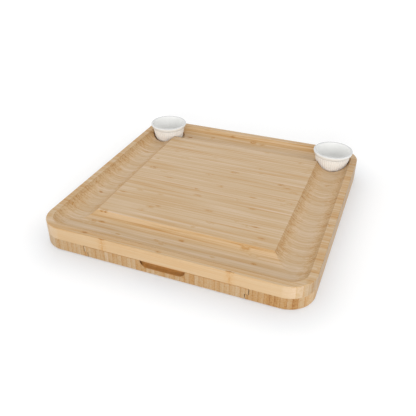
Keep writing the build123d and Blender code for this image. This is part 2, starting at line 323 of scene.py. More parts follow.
def place_in_mm(tree, centre=(0.0, 0.0, 0.0)):
    """Place of the surface point in millimetres from a centre given in metres, and the normal there."""
    place = add(tree, "ShaderNodeTexCoord")
    local = add(tree, "ShaderNodeVectorMath", {0: place.outputs["Object"], 1: centre}, operation="SUBTRACT")
    local = add(tree, "ShaderNodeVectorMath", {0: local, "Scale": PER_METRE}, operation="SCALE")
    return local, place.outputs["Normal"]


def uneven_roughness(tree, noise, roughness, spread):
    """A finish's roughness, which a noise spreads to both sides of its usual value."""
    return add(tree, "ShaderNodeMath", {0: noise, 1: spread, 2: roughness - 0.5 * spread},
               operation="MULTIPLY_ADD")


def connect(tree, shader, **inputs):
    """Links nodes to the shader's colour, roughness and normal."""
    sockets = {"colour": "Base Color", "roughness": "Roughness", "normal": "Normal"}
    for name, node in inputs.items():
        tree.links.new(live(node.outputs, 0), shader.inputs[sockets[name]])


def wood_axes(tree, grain):
    """Place in millimetres and facing of the surface point: along the grain, across it and upwards."""
    point, normal = place_in_mm(tree)
    sides = add(tree, "ShaderNodeSeparateXYZ", {0: point})
    facing = add(tree, "ShaderNodeSeparateXYZ", {0: normal})
    first, second = (0, 1) if grain == "X" else (1, 0)
    along, across, height = sides.outputs[first], sides.outputs[second], sides.outputs[2]
    return SimpleNamespace(
        along=along, across=across, height=height,
        spot=add(tree, "ShaderNodeCombineXYZ", {0: along, 1: across, 2: height}),
        facing_up=facing.outputs[2],
        end_face=add(tree, "ShaderNodeMath", {0: facing.outputs[first]}, operation="ABSOLUTE"),
        broad_face=add(tree, "ShaderNodeMath", {0: facing.outputs[second]}, operation="ABSOLUTE"),
    )


def glued_strips(tree, wood, seed, width, finish):
    """The strips: a line of uneven cells across the grain, each with its own number and chance values."""
    line = add(tree, "ShaderNodeMath", {0: wood.across, 1: MM / width, 2: seed}, operation="MULTIPLY_ADD")
    cells, edges = [
        add(tree, "ShaderNodeTexVoronoi", {"W": line, "Scale": 1.0, "Randomness": finish.strip_unevenness},
            voronoi_dimensions="1D", feature=feature)
        for feature in ("F1", "DISTANCE_TO_EDGE")
    ]
    chance = add(tree, "ShaderNodeSeparateColor", {0: cells.outputs["Color"]})
    # the darker skin of the cane is on one side of a strip or on the other
    flip = add(tree, "ShaderNodeMath", {0: chance.outputs[0], 1: 0.5}, operation="GREATER_THAN")
    side = add(tree, "ShaderNodeMath", {0: flip, 1: 2.0, 2: -1.0}, operation="MULTIPLY_ADD")
    offset = add(tree, "ShaderNodeMath", {0: line, 1: cells.outputs["W"]}, operation="SUBTRACT")
    skin = add(tree, "ShaderNodeMath", {0: offset, 1: side}, operation="MULTIPLY")
    skin_side = add(tree, "ShaderNodeMapRange", {"Value": skin, "From Min": -0.5, "From Max": 0.5},
                    interpolation_type="SMOOTHSTEP")
    glue_edge = finish.glue_width / width
    glue = add(tree, "ShaderNodeMapRange", {"Value": edges.outputs["Distance"], "From Min": glue_edge,
               "From Max": 0.2 * glue_edge}, interpolation_type="SMOOTHSTEP")
    return SimpleNamespace(number=cells.outputs["W"], chance=chance.outputs, skin_side=skin_side, glue=glue)


def node_zones(tree, wood, strips, finish, front_strip):
    """Nodes of the strips: how far the next one is, in millimetres, how near, from 0 to 1, and its mark."""
    start = add(tree, "ShaderNodeMath", {0: strips.chance[2], 1: NODE_SCATTER}, operation="MULTIPLY")
    turn = add(tree, "ShaderNodeMath", {0: wood.along, 1: MM / finish.node_spacing, 2: start},
               operation="MULTIPLY_ADD")
    spacing = finish.node_spacing / MM
    at_front = 0.0
    if front_strip is not None:
        at_front = add(tree, "ShaderNodeMath", {0: wood.across, 1: front_strip / MM}, operation="LESS_THAN")
        front_turn = add(tree, "ShaderNodeMath", {0: wood.along, 1: MM / finish.front_node_spacing,
                         2: 0.5 - finish.front_node / finish.front_node_spacing}, operation="MULTIPLY_ADD")
        turn = add(tree, "ShaderNodeMix", {0: at_front, 1: turn, 2: front_turn}, data_type="FLOAT")
        spacing = add(tree, "ShaderNodeMix", {0: at_front, 1: spacing, 2: finish.front_node_spacing / MM},
                      data_type="FLOAT")
    phase = add(tree, "ShaderNodeMath", {0: turn}, operation="FRACT")
    way = add(tree, "ShaderNodeMath", {0: phase, 1: 0.5}, operation="SUBTRACT")
    way = add(tree, "ShaderNodeMath", {0: way, 1: spacing}, operation="MULTIPLY")
    distance = add(tree, "ShaderNodeMath", {0: way}, operation="ABSOLUTE")
    zone = add(tree, "ShaderNodeMapRange", {"Value": distance, "From Min": finish.node_length / MM,
               "From Max": 0.0}, interpolation_type="SMOOTHSTEP")
    plain = add(tree, "ShaderNodeMapRange", {"Value": strips.chance[0], "From Min": 0.2, "To Min": 0.1})
    strength = add(tree, "ShaderNodeMath", {0: plain, 1: at_front}, operation="MAXIMUM")
    mark = add(tree, "ShaderNodeMath", {0: zone, 1: strength}, operation="MULTIPLY")
    return SimpleNamespace(zone=zone, distance=distance, mark=mark)


def grain_noise(tree, wood, strips, zone, finish):
    """Golden stretches of whole strips, long streaks and fine fibres, all drawn out along the grain."""
    reach = add(tree, "ShaderNodeMath", {0: wood.along, 1: MM / finish.stretch_length}, operation="MULTIPLY")
    lane = add(tree, "ShaderNodeMath", {0: strips.number, 1: LANE_STEP}, operation="MULTIPLY")
    spot = add(tree, "ShaderNodeCombineXYZ", {0: reach, 1: lane})
    stretch = add(tree, "ShaderNodeTexNoise", {"Vector": spot, "Scale": 1.0, "Detail": 1.0},
                  noise_dimensions="2D")
    shift = add(tree, "ShaderNodeMath", {0: strips.chance[1], 1: STRIP_SHIFT}, operation="MULTIPLY")
    grains = [stretch]
    for width, reach in (
        (finish.streak_width, finish.streak_length),
        (finish.fibre_width, finish.fibre_length),
    ):
        run = add(tree, "ShaderNodeMath", {0: wood.along, 1: MM / reach, 2: shift}, operation="MULTIPLY_ADD")
        breadth = add(tree, "ShaderNodeMath", {0: wood.across, 1: MM / width}, operation="MULTIPLY")
        level = add(tree, "ShaderNodeMath", {0: wood.height, 1: MM / width}, operation="MULTIPLY")
        # fibres bend round a node
        bent = add(tree, "ShaderNodeMath", {0: zone, 1: NODE_BEND, 2: level}, operation="MULTIPLY_ADD")
        spot = add(tree, "ShaderNodeCombineXYZ", {0: run, 1: breadth, 2: bent})
        grains.append(add(tree, "ShaderNodeTexNoise", {"Vector": spot, "Scale": 1.0, "Detail": 3.0,
                                                       "Roughness": 0.55}))
    return grains


def placed_marks(tree, wood, marks):
    """Nodes and golden stretches at given places: their strength in the middle of a mark, 0 outside."""
    strongest = 0.0
    for x, y, long, strength in marks:
        way = add(tree, "ShaderNodeVectorMath", {0: wood.spot, 1: (x, y, 0.0)}, operation="SUBTRACT")
        way = add(tree, "ShaderNodeVectorMath", {0: way, 1: (2.0 / long, 2.0 / MARK_WIDTH, 0.0)},
                  operation="MULTIPLY")
        way = add(tree, "ShaderNodeVectorMath", {0: way}, operation="LENGTH")
        mark = add(tree, "ShaderNodeMapRange", {"Value": way, "From Min": 1.3, "From Max": 0.2,
                   "To Max": strength}, interpolation_type="SMOOTHSTEP")
        strongest = add(tree, "ShaderNodeMath", {0: mark, 1: strongest}, operation="MAXIMUM")
    return strongest


def end_dots(tree, wood, strips, finish):
    """The ends of the strips show a dot for each bundle of fibres; they crowd towards the skin side."""
    flat = add(tree, "ShaderNodeVectorMath", {0: wood.spot, 1: (BUNDLE_RUN, 1.0, 1.0)}, operation="MULTIPLY")
    dots = add(tree, "ShaderNodeTexVoronoi", {"Vector": flat, "Scale": MM / finish.bundle_spacing,
               "Randomness": 0.8}, voronoi_dimensions="3D", feature="F1")
    dot = add(tree, "ShaderNodeMapRange", {"Value": dots.outputs["Distance"], "From Min": 0.45,
              "From Max": 0.15}, interpolation_type="SMOOTHSTEP")
    crowd = add(tree, "ShaderNodeMapRange", {"Value": strips.skin_side, "To Min": 0.25})
    return add(tree, "ShaderNodeMath", {0: dot, 1: crowd}, operation="MULTIPLY")


def mark_tones(tree, wood, nodes, marks, broad, freckles):
    """A node is a golden smudge of freckles, and on a broad side also a fine line across the strip."""
    freckle = add(tree, "ShaderNodeMapRange", {"Value": freckles, "From Min": 0.36, "From Max": 0.62},
                  interpolation_type="SMOOTHSTEP")
    mark = add(tree, "ShaderNodeMath", {0: nodes.mark, 1: freckle}, operation="MULTIPLY")
    clear = add(tree, "ShaderNodeMath", {0: freckle, 1: 0.5, 2: 0.5}, operation="MULTIPLY_ADD")
    placed = add(tree, "ShaderNodeMath", {0: placed_marks(tree, wood, marks), 1: clear},
                 operation="MULTIPLY")
    mark = add(tree, "ShaderNodeMath", {0: mark, 1: placed}, operation="MAXIMUM")
    faint = add(tree, "ShaderNodeMath", {0: broad, 1: -0.6, 2: 1.0}, operation="MULTIPLY_ADD")
    mark = add(tree, "ShaderNodeMath", {0: mark, 1: faint}, operation="MULTIPLY")
    line = add(tree, "ShaderNodeMapRange", {"Value": nodes.distance, "From Min": 1.3, "From Max": 0.3})
    line = add(tree, "ShaderNodeMath", {0: line, 1: broad}, operation="MULTIPLY")
    return mark, line


def oiled_rim(tree, wood, finish):
    """1 on the level rim, which is handled most and has taken more oil, else 0."""
    beside = add(tree, "ShaderNodeVectorMath", {0: wood.spot}, operation="ABSOLUTE")
    beside = add(tree, "ShaderNodeSeparateXYZ", {0: beside})
    from_middle = add(tree, "ShaderNodeMath", {0: beside.outputs[0], 1: beside.outputs[1]},
                      operation="MAXIMUM")
    start, fade = (BOARD_HIGH.x - finish.rim_width) / MM, 2.0
    rim = add(tree, "ShaderNodeMapRange", {"Value": from_middle, "From Min": start - fade,
              "From Max": start + fade})
    level = add(tree, "ShaderNodeMapRange", {"Value": wood.facing_up, "From Min": 0.8, "From Max": 0.95})
    return add(tree, "ShaderNodeMath", {0: rim, 1: level}, operation="MULTIPLY")


def cut_slope(tree, wood):
    """1 on a slope that is cut across the strips, 0 on a level or upright face."""
    tilt = add(tree, "ShaderNodeMapRange", {"Value": wood.facing_up, "From Min": 0.98, "From Max": 0.80})
    lying = add(tree, "ShaderNodeMapRange", {"Value": wood.facing_up, "From Min": 0.2, "From Max": 0.6})
    return add(tree, "ShaderNodeMath", {0: tilt, 1: lying}, operation="MULTIPLY")


def bamboo_colours(tree, tone, finish):
    """The colours of bamboo, from the pale inner wall of the cane at 0 to the brown of its nodes at 1."""
    ramp = add(tree, "ShaderNodeValToRGB", {0: tone})
    stops = ramp.color_ramp.elements
    stops[0].position, stops[0].color = 0.0, finish.pale
    stops[1].position, stops[1].color = 1.0, finish.brown
    stops.new(0.3).color = finish.straw
    stops.new(0.6).color = finish.golden
    return ramp


def patchy_place(tree, patches, limits):
    """A box given by its limits, as (value, where it is 0, where it is 1): uneven inside, 0 outside."""
    inside = 1.0
    for value, nothing, full in limits:
        edge = add(tree, "ShaderNodeMapRange", {"Value": value, "From Min": nothing, "From Max": full})
        inside = add(tree, "ShaderNodeMath", {0: edge, 1: inside}, operation="MULTIPLY")
    patchy = add(tree, "ShaderNodeMapRange", {"Value": patches, "From Min": 0.3, "From Max": 0.7,
                 "To Min": 0.62})
    return add(tree, "ShaderNodeMath", {0: inside, 1: patchy}, operation="MULTIPLY")


def notch_toast_and_shade(tree, wood, patches, colour, finish, way_in):
    """The cutter's scorch and painted shade darken the notch; painted shade, the tray front's upper edge.

    way_in is 1 where the notch goes in along +Y and -1 where it goes in along -Y.
    """
    inward = add(tree, "ShaderNodeMath", {0: wood.along, 1: way_in, 2: BOARD_HIGH.y / MM},
                 operation="MULTIPLY_ADD")
    off_middle = add(tree, "ShaderNodeMath", {0: wood.across}, operation="ABSOLUTE")
    top = TRAY_HIGH.z / MM
    reach, half, floor = finish.notch_reach / MM, 0.5 * finish.notch_width / MM, top - finish.notch_depth / MM
    # the notch: the cutter's scorch, partly painted shade in the recess
    notch = patchy_place(tree, patches, (
        (inward, 0.15, 0.5), (inward, reach + 0.2, reach - 0.1), (off_middle, half + 0.3, half),
        (wood.height, top - 0.05, top - 0.2), (wood.height, floor - 0.2, floor + 0.2),
    ))
    # painted shade along the upper edge of the tray's front, under the slab
    edge = patchy_place(tree, patches, ((wood.height, top - 1.0, top - 0.4), (wood.end_face, 0.5, 0.9)))
    edge = add(tree, "ShaderNodeMath", {0: edge, 1: 0.7}, operation="MULTIPLY")
    toast_and_shade = add(tree, "ShaderNodeMath", {0: notch, 1: edge}, operation="MAXIMUM")
    return add(tree, "ShaderNodeMix", {0: toast_and_shade, 1: colour, 2: finish.toast_and_shade}, data_type="RGBA")


def light_pocket_walls(tree, wood, patches, colour, finish):
    """The pockets' upright walls are light golden orange: partly the cut's colour, partly painted light in
    their shade.
    """
    for side in ("left", "right"):
        low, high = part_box(side + "_bowl")
        way = add(tree, "ShaderNodeVectorMath", {0: wood.spot, 1: 0.5 * (low + high) / MM},
                  operation="SUBTRACT")
        way = add(tree, "ShaderNodeVectorMath", {0: way, 1: (1.0, 1.0, 0.0)}, operation="MULTIPLY")
        way = add(tree, "ShaderNodeVectorMath", {0: way}, operation="LENGTH")
        reach = 0.5 * (high.x - low.x) / MM
        wall_light = patchy_place(tree, patches, ((way.outputs["Value"], reach + 0.5, reach - 0.5),
                                             (wood.facing_up, 0.5, 0.3)))
        colour = add(tree, "ShaderNodeMix", {0: wall_light, 1: colour, 2: finish.pocket_wall_and_light}, data_type="RGBA")
    return colour


def paint_gap_shade(tree, wood, patches, colour, finish):
    """Painted shade: both walls of the gaps beside a tray turn near-black brown near the board's front and
    back.
    """
    from_middle = add(tree, "ShaderNodeMath", {0: wood.along}, operation="ABSOLUTE")
    off_middle = add(tree, "ShaderNodeMath", {0: wood.across}, operation="ABSOLUTE")
    end, start = BOARD_HIGH.y / MM, (BOARD_HIGH.y - finish.gap_shade_reach) / MM
    gap = TRAY_HIGH.x / MM
    # painted shade on the walls of the drawer gaps
    gap_shade = patchy_place(tree, patches, (
        (from_middle, start - 1.0, start), (from_middle, end, end - 0.5),
        (wood.broad_face, 0.5, 0.9), (off_middle, gap + 3.0, gap + 2.0),
    ))
    return add(tree, "ShaderNodeMix", {0: gap_shade, 1: colour, 2: finish.painted_gap_shade}, data_type="RGBA")


def softened(tree, noise, calm):
    """A noise counted from its middle and made weaker by calm."""
    centred = add(tree, "ShaderNodeMath", {0: noise, 1: 0.5}, operation="SUBTRACT")
    return add(tree, "ShaderNodeMath", {0: centred, 1: calm}, operation="MULTIPLY")


def bamboo_material(name, grain, piece, finish, front_strip=None, marks=(), notch=0, uneven_ends=0.0):
    """Side-pressed bamboo, sanded and oiled.

    The strips stand on edge, glued face to face. A strip is pale where the inner wall of the cane was and
    darker where its skin was, so the face shows fine stripes along the grain, golden stretches and a scatter
    of node marks. Ends drink more oil and look darker, with a dot for each bundle of fibres; slopes cut
    across the strips look golden. Oil leaves a soft sheen.
    """
    material, tree, shader = new_material(name)
    seed, shade = SEED_AND_SHADE[piece]
    wood = wood_axes(tree, grain)
    width = finish.strip_width if grain == "X" else finish.base_strip_width
    strips = glued_strips(tree, wood, seed, width, finish)
    nodes = node_zones(tree, wood, strips, finish, front_strip)
    stretch, streak, fibre = grain_noise(tree, wood, strips, nodes.zone, finish)

    # the broad side of a strip is planed along its rings: paler and with fewer streaks than its narrow side
    broad = add(tree, "ShaderNodeMapRange", {"Value": wood.broad_face, "From Min": 0.75})
    calm = add(tree, "ShaderNodeMath", {0: broad, 1: -0.65, 2: 1.0}, operation="MULTIPLY_ADD")
    streak = softened(tree, streak, calm)
    stretch = softened(tree, stretch, calm)

    fine = (MM / finish.freckle_length, MM / finish.freckle_width, MM / finish.freckle_width)
    drawn = add(tree, "ShaderNodeVectorMath", {0: wood.spot, 1: fine}, operation="MULTIPLY")
    freckles = add(tree, "ShaderNodeTexNoise", {"Vector": drawn, "Scale": 1.0, "Detail": 2.0})
    mark, line = mark_tones(tree, wood, nodes, marks, broad, freckles)

    # the ends of the strips: dots, strips that differ, and seams between them
    end_cut = add(tree, "ShaderNodeMapRange", {"Value": wood.end_face, "From Min": 0.4, "From Max": 0.97},
                  interpolation_type="SMOOTHSTEP")
    dot = add(tree, "ShaderNodeMath", {0: end_dots(tree, wood, strips, finish), 1: end_cut},
              operation="MULTIPLY")
    column = softened(tree, strips.chance[1], end_cut)
    seam = add(tree, "ShaderNodeMath", {0: strips.glue, 1: end_cut}, operation="MULTIPLY")

    # a slope is golden and flamed by its streaks and fibres
    slope = cut_slope(tree, wood)
    thin = add(tree, "ShaderNodeMath", {0: fibre, 1: 0.5}, operation="SUBTRACT")
    flame = add(tree, "ShaderNodeMath", {0: thin, 1: streak}, operation="ADD")
    flame = add(tree, "ShaderNodeMath", {0: flame, 1: slope}, operation="MULTIPLY")

    # everything that darkens the wood is added up: its node, its weight, and the value that counts as none
    tone = LEAST_TONE + shade
    for part, weight, middle in (
        (strips.chance[1], 0.15, 0.0),
        (strips.skin_side, 0.13, 0.5),
        (end_cut, 0.02, 0.0),
        (strips.glue, 0.16, 0.0),
        (stretch, 0.48, 0.0),
        (streak, 0.74, 0.0),
        (flame, 1.10, 0.0),
        (fibre, 0.42, 0.5),
        (mark, 0.50, 0.0),
        (line, 0.10, 0.0),
        (broad, -0.06, 0.0),
        (oiled_rim(tree, wood, finish), 0.14, 0.0),
        (dot, 0.22, 0.0),
        (column, uneven_ends, 0.0),
        (seam, 0.16, 0.0),
    ):
        centred = add(tree, "ShaderNodeMath", {0: part, 1: middle}, operation="SUBTRACT")
        tone = add(tree, "ShaderNodeMath", {0: centred, 1: weight, 2: tone}, operation="MULTIPLY_ADD")

    gold = add(tree, "ShaderNodeMath", {0: slope, 1: finish.slope_gold}, operation="MULTIPLY")
    colour = bamboo_colours(tree, tone, finish)
    colour = add(tree, "ShaderNodeMix", {0: gold, 1: colour, 2: finish.gold_filter}, data_type="RGBA",
                 blend_type="MULTIPLY")
    soaked = add(tree, "ShaderNodeMath", {0: end_cut, 1: finish.end_soak}, operation="MULTIPLY")
    colour = add(tree, "ShaderNodeMix", {0: soaked, 1: colour, 2: (0.0, 0.0, 0.0, 1.0)}, data_type="RGBA")
    if notch:
        # toast in the notch, partly painted shade
        colour = notch_toast_and_shade(tree, wood, freckles, colour, finish, notch)
    if piece == "top_board":
        # painted light on the walls of the bowls' pockets
        colour = light_pocket_walls(tree, wood, freckles, colour, finish)
    else:
        # painted shade in the drawer gaps
        colour = paint_gap_shade(tree, wood, freckles, colour, finish)

    rough = uneven_roughness(tree, fibre, finish.roughness, finish.roughness_spread)
    height = add(tree, "ShaderNodeMath", {0: strips.glue, 1: -0.8, 2: fibre}, operation="MULTIPLY_ADD")
    bump = add(tree, "ShaderNodeBump", {"Height": height, "Strength": 1.0, "Distance": finish.relief})
    connect(tree, shader, colour=colour, roughness=rough, normal=bump)
    shader.inputs["IOR"].default_value = WOOD_IOR
    shader.inputs["Specular IOR Level"].default_value = WOOD_SPECULAR
    return material


class SERVINGBOARD_OT_top_slab(bpy.types.Operator):
    """Finishes the upper slab, whose grain runs from left to right"""

    bl_idname = "servingboard.top_slab"
    bl_label = "Finish the top slab"

    def execute(self, context):
        finish = context.scene.bamboo_finish
        front_strip = BOARD_LOW.y + 0.5 * finish.strip_width
        marks = NODE_MARKS + GOLDEN_STRETCHES
        dress("top_board", bamboo_material("oiled_bamboo_top", "X", "top_board", finish, front_strip, marks,
                                           uneven_ends=0.06))
        return {"FINISHED"}


class SERVINGBOARD_OT_base_rails(bpy.types.Operator):
    """Finishes the rails of the lower layer; the grain of all three runs from front to back"""

    bl_idname = "servingboard.base_rails"
    bl_label = "Finish the base rails"

    def execute(self, context):
        finish = context.scene.bamboo_finish
        for rail in ("base_left_rail", "base_right_rail", "base_centre_rail"):
            dress(rail, bamboo_material("oiled_bamboo_" + rail, "Y", rail, finish, uneven_ends=0.08))
        return {"FINISHED"}


class SERVINGBOARD_OT_drawer_trays(bpy.types.Operator):
    """Finishes the two drawer trays"""

    bl_idname = "servingboard.drawer_trays"
    bl_label = "Finish the drawer trays"

    def execute(self, context):
        finish = context.scene.bamboo_finish
        for tray, way_in in (("front_tray", 1), ("rear_tray", -1)):
            dress(tray, bamboo_material("oiled_bamboo_" + tray, "Y", tray, finish, notch=way_in,
                                        uneven_ends=0.08))
        return {"FINISHED"}


def arc(centre, radius, start, end, steps):
    """Points on an arc in the profile's plane; angles in degrees, anticlockwise from the way out."""
    angles = [math.radians(start + (end - start) * i / steps) for i in range(steps + 1)]
    return [(centre[0] + radius * math.cos(a), centre[1] + radius * math.sin(a)) for a in angles]


def bowl_profile(finish):
    """The bowl's section as (radius, height, share of flutes), from the middle below to the one inside."""
    tall = BOWL_HIGH.z - BOWL_LOW.z
    rim = 0.5 * (BOWL_HIGH.x - BOWL_LOW.x)
    band_foot = tall - finish.band_height
    body_top = band_foot - finish.groove_height
    bevel_top = finish.foot_height + finish.foot_bevel
    ring_inner = finish.foot_radius - finish.foot_width
    # every sharp edge is broken by this much
    edge = 0.35 * MM
    inner_rim = rim - finish.wall
    lean = (rim - finish.band_taper, band_foot)

    points = [(0.0, finish.foot_height, 0), (ring_inner - edge, finish.foot_height, 0)]
    points += [(ring_inner, finish.foot_height - edge, 0), (ring_inner + edge, 0.0, 0)]
    points += [(finish.foot_radius - edge, 0.0, 0), (finish.foot_radius, edge, 0)]
    points += [(finish.foot_radius, finish.foot_height, 0)]
    steps = 14
    for i in range(steps + 1):
        share_up = i / steps
        z = bevel_top + (body_top - bevel_top) * share_up
        radius = finish.body_foot_radius + (finish.body_top_radius - finish.body_foot_radius) * share_up
        # the flutes run out towards the foot and under the groove
        fade = min(1.0, 4.0 * share_up + 0.25, 9.0 * (1 - share_up) + 0.1)
        points.append((radius, z, fade))
    groove = finish.body_top_radius - finish.groove_depth
    points += [(groove, body_top + 0.3 * finish.groove_height, 0)]
    points += [(groove, band_foot - 0.2 * finish.groove_height, 0)]
    points += [(lean[0] - edge, band_foot, 0), (lean[0], band_foot + edge, 0)]
    corner = (rim - finish.lip_round, tall - finish.lip_round)
    points += [(r, z, 0) for r, z in arc(corner, finish.lip_round, 0, 90, 8)]
    corner = (inner_rim + finish.lip_round, tall - finish.lip_round)
    points += [(r, z, 0) for r, z in arc(corner, finish.lip_round, 90, 170, 7)]
    # inner wall, tangent to the round over the floor
    slope = math.atan2(inner_rim - finish.inner_foot_radius, tall - finish.floor)
    centre = (finish.inner_foot_radius - finish.inner_round * math.tan(0.25 * math.pi - 0.5 * slope),
              finish.floor + finish.inner_round)
    points += [(r, z, 0) for r, z in arc(centre, finish.inner_round, -math.degrees(slope), -90, 10)]
    points.append((0.0, finish.floor, 0))
    return points


def bowl_mesh(name, centre, finish):
    """A bowl turned from its profile; the flutes are a wave on the outside of the body."""
    segments = POINTS_PER_FLUTE * finish.flute_count
    profile = bowl_profile(finish)
    rings = profile[1:-1]
    vertices = [(centre[0], centre[1], BOWL_LOW.z + profile[0][1])]
    for radius, z, flutes in rings:
        for i in range(segments):
            angle = 2 * math.pi * i / segments
            wave = (0.5 - 0.5 * math.cos(finish.flute_count * angle)) ** CREST_BREADTH
            r = radius - flutes * finish.flute_depth * wave
            across, back = r * math.cos(angle), r * math.sin(angle)
            vertices.append((centre[0] + across, centre[1] + back, BOWL_LOW.z + z))
    vertices.append((centre[0], centre[1], BOWL_LOW.z + profile[-1][1]))
    last = len(vertices) - 1
    faces = []
    for i in range(segments):
        j = (i + 1) % segments
        faces.append((0, 1 + j, 1 + i))
        for k in range(len(rings) - 1):
            a = 1 + k * segments
            b = a + segments
            faces.append((a + i, a + j, b + j, b + i))
        top = 1 + (len(rings) - 1) * segments
        faces.append((top + i, top + j, last))
    mesh = bpy.data.meshes.new(name)
    mesh.from_pydata(vertices, [], faces)
    mesh.validate()
    mesh.polygons.foreach_set("use_smooth", [True] * len(mesh.polygons))
    piece = bpy.data.objects.new(name, mesh)
    bpy.context.scene.collection.objects.link(piece)
    return piece


def glaze_material(name, centre, finish):
    """White tin glaze on stoneware, dipped and fired.

    The glaze is glassy and a little wavy. The level lip is a little greyer: partly thin glaze, partly painted
    shade on a face that looks up. The body is whiter, painted light that lifts it from the shade of its
    flutes and its pocket. The flutes and the groove are faintly grey: partly pooled glaze, partly painted
    shade in these hollows. The foot ring is wiped bare and shows dull cream clay.
    """
    material, tree, shader = new_material(name)
    local, normal = place_in_mm(tree, (centre[0], centre[1], BOWL_LOW.z))
    axes = add(tree, "ShaderNodeSeparateXYZ", {0: local})
    angle = add(tree, "ShaderNodeMath", {0: axes.outputs[1], 1: axes.outputs[0]}, operation="ARCTAN2")
    turn = add(tree, "ShaderNodeMath", {0: angle, 1: float(finish.flute_count)}, operation="MULTIPLY")
    crest = add(tree, "ShaderNodeMath", {0: turn}, operation="COSINE")
    valley = add(tree, "ShaderNodeMapRange", {"Value": crest, "From Min": 0.2, "From Max": -1.0},
                 interpolation_type="SMOOTHSTEP")
    tall = (BOWL_HIGH.z - BOWL_LOW.z) / MM
    band_foot = tall - finish.band_height / MM
    groove_foot = band_foot - finish.groove_height / MM
    body = add(tree, "ShaderNodeMapRange", {"Value": axes.outputs[2], "From Min": groove_foot + 0.3,
               "From Max": groove_foot - 0.3})
    # painted shade: the groove is greyed into a dark line
    groove = add(tree, "ShaderNodeMapRange", {"Value": axes.outputs[2], "From Min": band_foot + 0.3,
                 "From Max": band_foot})
    groove = add(tree, "ShaderNodeMath", {0: groove, 1: body}, operation="SUBTRACT")
    pool = add(tree, "ShaderNodeMath", {0: valley, 1: body}, operation="MULTIPLY")
    pool = add(tree, "ShaderNodeMath", {0: pool, 1: finish.flute_pool_and_shade}, operation="MULTIPLY")
    pool = add(tree, "ShaderNodeMath", {0: groove, 1: pool}, operation="MAXIMUM")

    # on the outside, the normal points away from the bowl's axis
    outwards = add(tree, "ShaderNodeVectorMath", {0: local, 1: (1.0, 1.0, 0.0)}, operation="MULTIPLY")
    outwards = add(tree, "ShaderNodeVectorMath", {0: outwards}, operation="NORMALIZE")
    outside = add(tree, "ShaderNodeVectorMath", {0: outwards, 1: normal}, operation="DOT_PRODUCT")
    outside = add(tree, "ShaderNodeMapRange", {"Value": outside.outputs["Value"], "From Max": 0.4})
    # the lip is the level part near the top; its greyer glaze is partly thin glaze, partly painted shade
    near_top = add(tree, "ShaderNodeMath", {0: axes.outputs[2], 1: tall - finish.lip_round / MM},
                   operation="GREATER_THAN")
    facing = add(tree, "ShaderNodeSeparateXYZ", {0: normal})
    level = add(tree, "ShaderNodeMapRange", {"Value": facing.outputs[2], "From Min": 0.3, "From Max": 0.8})
    lip = add(tree, "ShaderNodeMath", {0: near_top, 1: level}, operation="MULTIPLY")

    # painted light: the body takes the whiter glaze
    outer = add(tree, "ShaderNodeMix", {0: body, 1: finish.glaze_outside, 2: finish.body_painted_light},
                data_type="RGBA")
    coat = add(tree, "ShaderNodeMix", {0: outside, 1: finish.glaze_inside, 2: outer}, data_type="RGBA")
    coat = add(tree, "ShaderNodeMix", {0: lip, 1: coat, 2: finish.lip_glaze_and_shade}, data_type="RGBA")
    cloud = add(tree, "ShaderNodeTexNoise", {"Vector": local, "Scale": MM / finish.cloud_size, "Detail": 2.0})
    uneven = add(tree, "ShaderNodeMath", {0: cloud, 1: finish.unevenness}, operation="MULTIPLY")
    pool = add(tree, "ShaderNodeMath", {0: outside, 1: pool}, operation="MULTIPLY")
    pool = add(tree, "ShaderNodeMath", {0: pool, 1: uneven}, operation="ADD")
    coat = add(tree, "ShaderNodeMix", {0: pool, 1: coat, 2: finish.glaze_pool_and_shade}, data_type="RGBA")
    bare = add(tree, "ShaderNodeMapRange", {"Value": axes.outputs[2], "From Min": 0.5, "From Max": 0.35})
    colour = add(tree, "ShaderNodeMix", {0: bare, 1: coat, 2: finish.clay}, data_type="RGBA")
    rough = add(tree, "ShaderNodeMix", {0: bare, 1: finish.roughness, 2: finish.clay_roughness},
                data_type="FLOAT")
    wave = add(tree, "ShaderNodeTexNoise", {"Vector": local, "Scale": MM / finish.wave_size, "Detail": 1.0})
    bump = add(tree, "ShaderNodeBump", {"Height": wave, "Strength": 1.0, "Distance": finish.wave_depth})
    connect(tree, shader, colour=colour, roughness=rough, normal=bump)
    shader.inputs["IOR"].default_value = GLAZE_IOR
    return material


class SERVINGBOARD_OT_dip_bowls(bpy.types.Operator):
    """Turns the two fluted dip bowls and glazes them"""

    bl_idname = "servingboard.dip_bowls"
    bl_label = "Make the dip bowls"

    def execute(self, context):
        finish = context.scene.bowl_finish
        for side in ("left", "right"):
            low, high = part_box(side + "_bowl")
            centre = 0.5 * (low + high)
            bowl = bowl_mesh(side + "_dip_bowl_glazed", centre, finish)
            bowl.data.materials.append(glaze_material("white_glaze_" + side, centre, finish))
            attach(bowl, side + "_dip_bowl")
            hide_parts(side + "_bowl")
        return {"FINISHED"}


def nickel_material(finish):
    """Barrel-plated nickel: a warm grey metal, tumbled, so that fine dents break its shine."""
    material, tree, shader = new_material("plated_nickel")
    local, _ = place_in_mm(tree)
    dents = add(tree, "ShaderNodeTexNoise", {"Vector": local, "Scale": MM / finish.dent_size, "Detail": 3.0})
    rough = uneven_roughness(tree, dents, finish.nickel_roughness, finish.nickel_spread)
    bump = add(tree, "ShaderNodeBump", {"Height": dents, "Distance": finish.dent_depth})
    connect(tree, shader, roughness=rough, normal=bump)
    shader.inputs["Base Color"].default_value = finish.nickel
    shader.inputs["Metallic"].default_value = 1.0
    return material


class SERVINGBOARD_OT_magnets(bpy.types.Operator):
    """Plates the eight magnets"""

    bl_idname = "servingboard.magnets"
    bl_label = "Finish the magnets"

    def execute(self, context):
        material = nickel_material(context.scene.hardware_finish)
        for tray in ("front", "rear"):
            for part in ("tray", "stop"):
                for side in ("left", "right"):
                    dress(f"{tray}_{part}_magnet_{side}", material)
        return {"FINISHED"}


